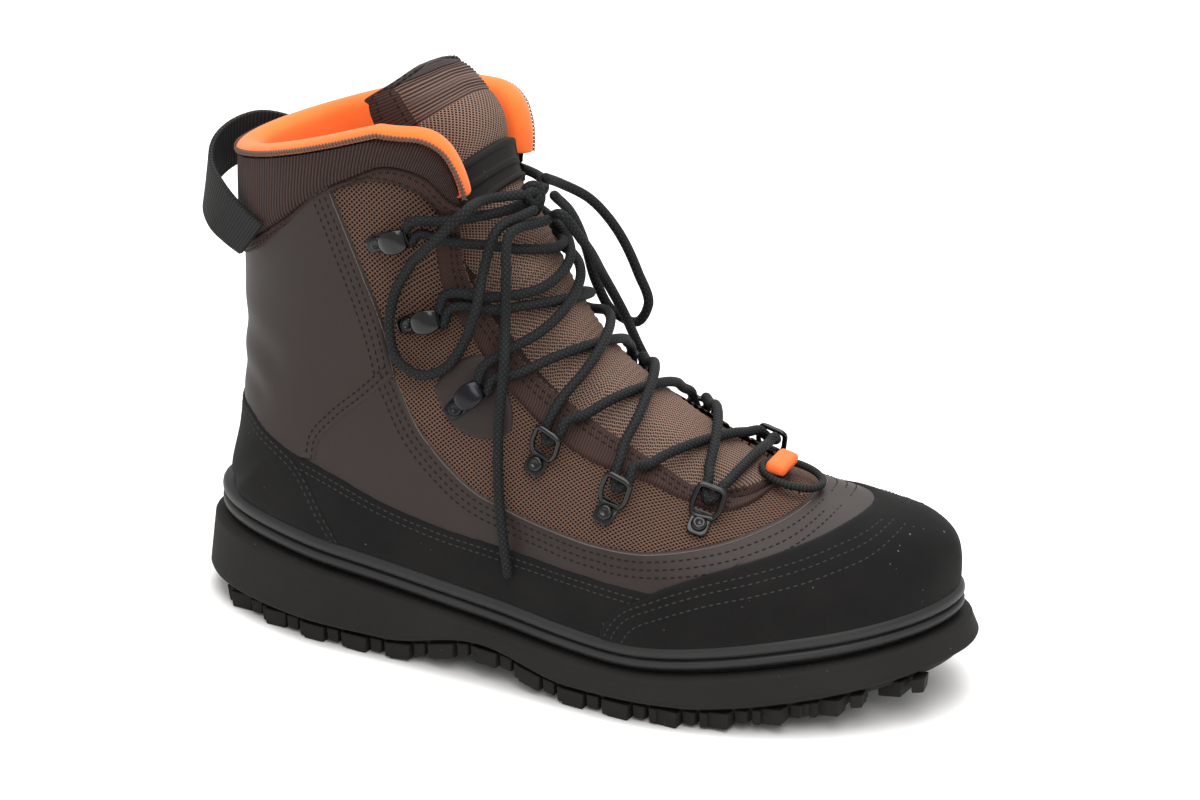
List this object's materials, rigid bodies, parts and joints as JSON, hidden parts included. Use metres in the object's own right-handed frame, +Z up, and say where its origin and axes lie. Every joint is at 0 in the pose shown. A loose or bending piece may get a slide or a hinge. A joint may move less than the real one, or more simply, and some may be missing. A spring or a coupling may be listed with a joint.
{
  "type": "wading boot",
  "caption": "Lace-up wading boot with a lugged rubber sole, leather and mesh upper, padded collar, tongue, hooks and a tied lace.",
  "frame": {"origin": "centre of the boot's box without the free laces, on the floor under the tread", "axes": "+X to the toe, -Y to the lateral side, +Z up"},
  "size_m": [0.3236, 0.1246, 0.2335],
  "materials": {
    "nubuck": "matte black nubuck",
    "leather": "smooth dark brown",
    "mesh": "coarse brown weave",
    "binding": "fine ribbed brown",
    "cuff": "padded, ribbed brown",
    "lining": "soft orange",
    "rubber": "matte black",
    "welt": "satin dark grey",
    "footbed": "dark felt",
    "webbing": "black webbing",
    "metal": "gloss black coat",
    "lace": "round black braid"
  },
  "bodies": {
    "root": {"collar_band": "binding", "collar_cuff": "cuff", "collar_lining": "lining", "eyestay_lateral": "binding", "eyestay_medial": "binding", "heel_counter": "nubuck", "hook_lateral_4": "metal", "hook_lateral_5": "metal", "hook_lateral_6": "metal", "hook_medial_4": "metal", "hook_medial_5": "metal", "hook_medial_6": "metal", "insole": "footbed", "lace_bar": "lace", "lace_cross_1": "lace", "lace_cross_2": "lace", "lace_cross_3": "lace", "lace_cross_4": "lace", "lace_cross_5": "lace", "lace_end_lateral": "lace", "lace_end_medial": "lace", "lace_keeper_ring": "webbing", "lace_keeper_tab": "lining", "lace_knot": "lace", "lace_loop_lateral": "lace", "lace_loop_medial": "lace", "lace_top_lateral": "lace", "lace_top_medial": "lace", "midsole": "welt", "mudguard_lateral": "nubuck", "mudguard_medial": "nubuck", "outsole": "rubber", "pull_loop": "webbing", "quarter_panel": "leather", "ring_lateral_1": "metal", "ring_lateral_2": "metal", "ring_lateral_3": "metal", "ring_medial_1": "metal", "ring_medial_2": "metal", "ring_medial_3": "metal", "rivet_lateral_1": "metal", "rivet_lateral_2": "metal", "rivet_lateral_3": "metal", "rivet_lateral_4": "metal", "rivet_lateral_5": "metal", "rivet_lateral_6": "metal", "rivet_medial_1": "metal", "rivet_medial_2": "metal", "rivet_medial_3": "metal", "rivet_medial_4": "metal", "rivet_medial_5": "metal", "rivet_medial_6": "metal", "toe_cap": "nubuck", "tongue": "mesh", "tongue_patch": "rubber", "upper": "mesh", "vamp_panel": "leather"}
  },
  "joints": []
}
